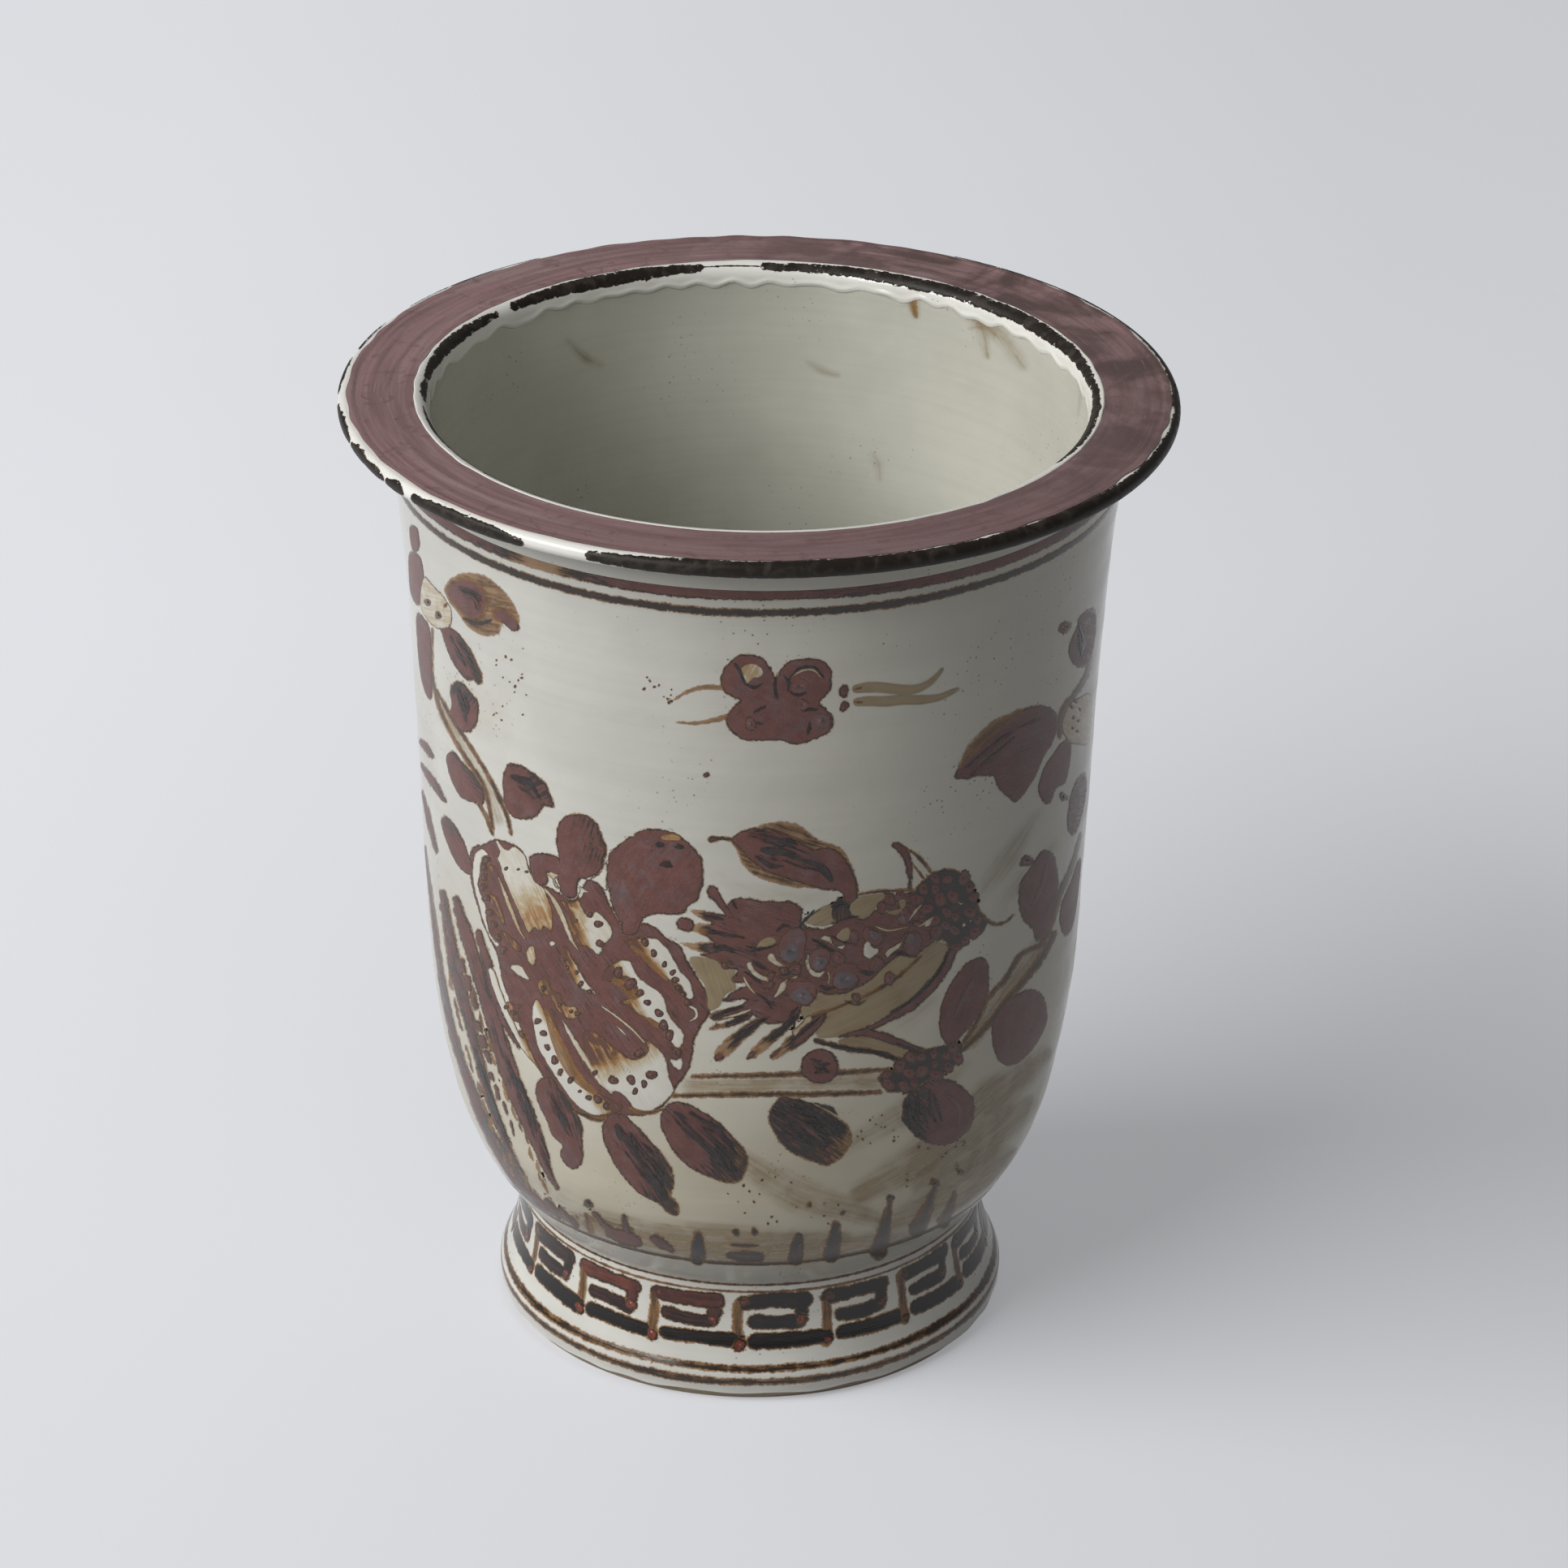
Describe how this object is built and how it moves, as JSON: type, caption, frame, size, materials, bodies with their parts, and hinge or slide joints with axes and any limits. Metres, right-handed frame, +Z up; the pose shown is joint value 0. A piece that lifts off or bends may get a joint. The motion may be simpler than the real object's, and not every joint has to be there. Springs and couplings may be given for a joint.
{
  "type": "ceramic flowerpot",
  "caption": "Tall round ceramic flowerpot with a wide flat rim, rounded belly, flared foot and hand-painted brown bird and flower ornament.",
  "frame": {"origin": "centre of the foot on the table", "axes": "+Z up along the pot's axis; -Y faces the viewer, the side with the bird; +X to the viewer's right"},
  "size_m": [0.2999, 0.3, 0.364],
  "materials": {
    "stoneware": "bare fired clay",
    "slip": "fired slip in the joints",
    "wall_glaze": "glossy off-white glaze",
    "iron_glaze": "satin mauve-brown iron glaze",
    "white_glaze": "thick glossy cream glaze"
  },
  "bodies": {
    "root": {"foot_ring": "stoneware", "floor_disc": "stoneware", "belly_section": "stoneware", "barrel_section": "stoneware", "rim_flange": "stoneware", "foot_luting_slip": "slip", "floor_luting_slip": "slip", "wall_luting_slip": "slip", "rim_luting_slip": "slip", "outer_glaze": "wall_glaze", "inner_glaze": "wall_glaze", "foot_glaze": "wall_glaze", "rim_iron_glaze": "iron_glaze", "lip_white_glaze": "white_glaze", "mouth_white_glaze": "white_glaze"}
  },
  "joints": []
}
